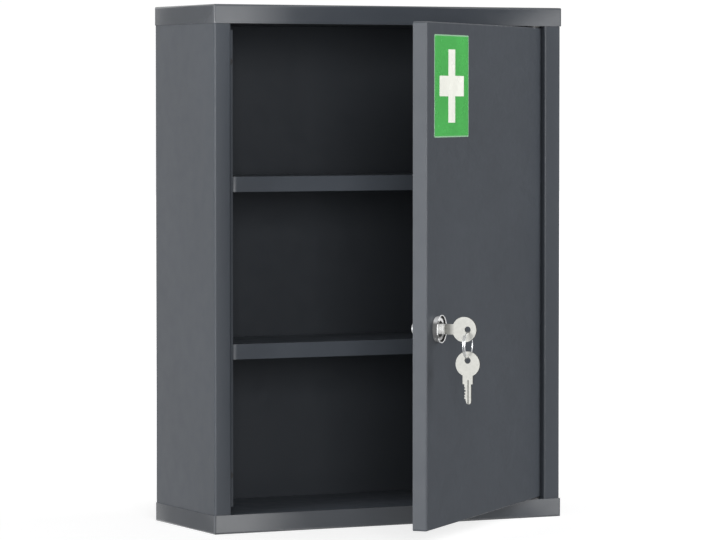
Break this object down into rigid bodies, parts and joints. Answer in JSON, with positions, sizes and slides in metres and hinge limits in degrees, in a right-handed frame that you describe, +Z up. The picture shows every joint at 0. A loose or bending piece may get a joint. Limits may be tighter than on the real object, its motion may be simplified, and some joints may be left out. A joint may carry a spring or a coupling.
{
  "type": "lockable medicine cabinet",
  "caption": "Wall-mounted sheet steel medicine cabinet with folded shelves, an inset pan door on pivot pins, a cam lock with its key, and a spare key on a ring.",
  "frame": {"origin": "centre of the cabinet's underside, on the face that it rests on", "axes": "+Z up, the door side faces -Y, the wall side faces +Y, +X towards the hinges"},
  "size_m": [0.374, 0.3746, 0.5],
  "materials": {
    "cabinet_paint": "anthracite powder coat, satin",
    "cap_paint": "anthracite powder coat, semi-gloss",
    "inner_paint": "anthracite powder coat, satin",
    "door_paint": "anthracite powder coat, satin",
    "zinc_steel": "bright zinc plated",
    "lock_chrome": "polished chrome",
    "key_nickel": "satin nickel",
    "ring_steel": "bright spring wire",
    "white_nylon": "natural nylon",
    "black_rubber": "matt",
    "sign_film": "printed vinyl film"
  },
  "bodies": {
    "cabinet": {"top_cap": "cap_paint", "ceiling_panel": "inner_paint", "bottom_cap": "cap_paint", "floor_panel": "inner_paint", "left_side_panel": "cabinet_paint", "right_side_panel": "cabinet_paint", "back_panel": "inner_paint", "upper_shelf": "cabinet_paint", "lower_shelf": "cabinet_paint", "upper_left_rail": "cabinet_paint", "upper_right_rail": "cabinet_paint", "lower_left_rail": "cabinet_paint", "lower_right_rail": "cabinet_paint", "upper_hinge_bush": "white_nylon", "lower_hinge_bush": "white_nylon", "door_buffers": "black_rubber"},
    "door": {"door_panel": "door_paint", "door_stiffener": "door_paint", "upper_hinge_pin": "zinc_steel", "lower_hinge_pin": "zinc_steel", "lock_housing": "lock_chrome", "lock_bezel": "lock_chrome", "lock_washer": "zinc_steel", "lock_nut": "zinc_steel"},
    "plug": {"lock_plug": "lock_chrome", "lock_cam": "zinc_steel", "cam_screw": "zinc_steel"},
    "key": {"lock_key": "key_nickel"},
    "ring": {"key_ring": "ring_steel"},
    "spare": {"spare_key": "key_nickel"}
  },
  "joints": [
    {"name": "door_hinge", "type": "hinge", "parent": "cabinet", "child": "door", "pos_m": [0.1597, -0.063, 0.25], "axis": [0, 0, 1], "range_deg": [-43, 62]},
    {"name": "lock_turn", "type": "hinge", "parent": "door", "child": "plug", "pos_m": [-0.05686, -0.27315, 0.202], "axis": [0.682, -0.7314, 0], "range_deg": [0, 90]},
    {"name": "key_slide", "type": "slide", "parent": "plug", "child": "key", "axis": [0.682, -0.7314, 0], "range_m": [0, 0.028]},
    {"name": "ring_swing", "type": "hinge", "parent": "key", "child": "ring", "pos_m": [-0.03628, -0.29521, 0.202], "axis": [0.7314, 0.682, 0], "range_deg": [-60, 10]},
    {"name": "spare_key_swing", "type": "hinge", "parent": "ring", "child": "spare", "pos_m": [-0.03628, -0.29521, 0.174], "axis": [0.7314, 0.682, 0], "range_deg": [-45, 20]}
  ]
}
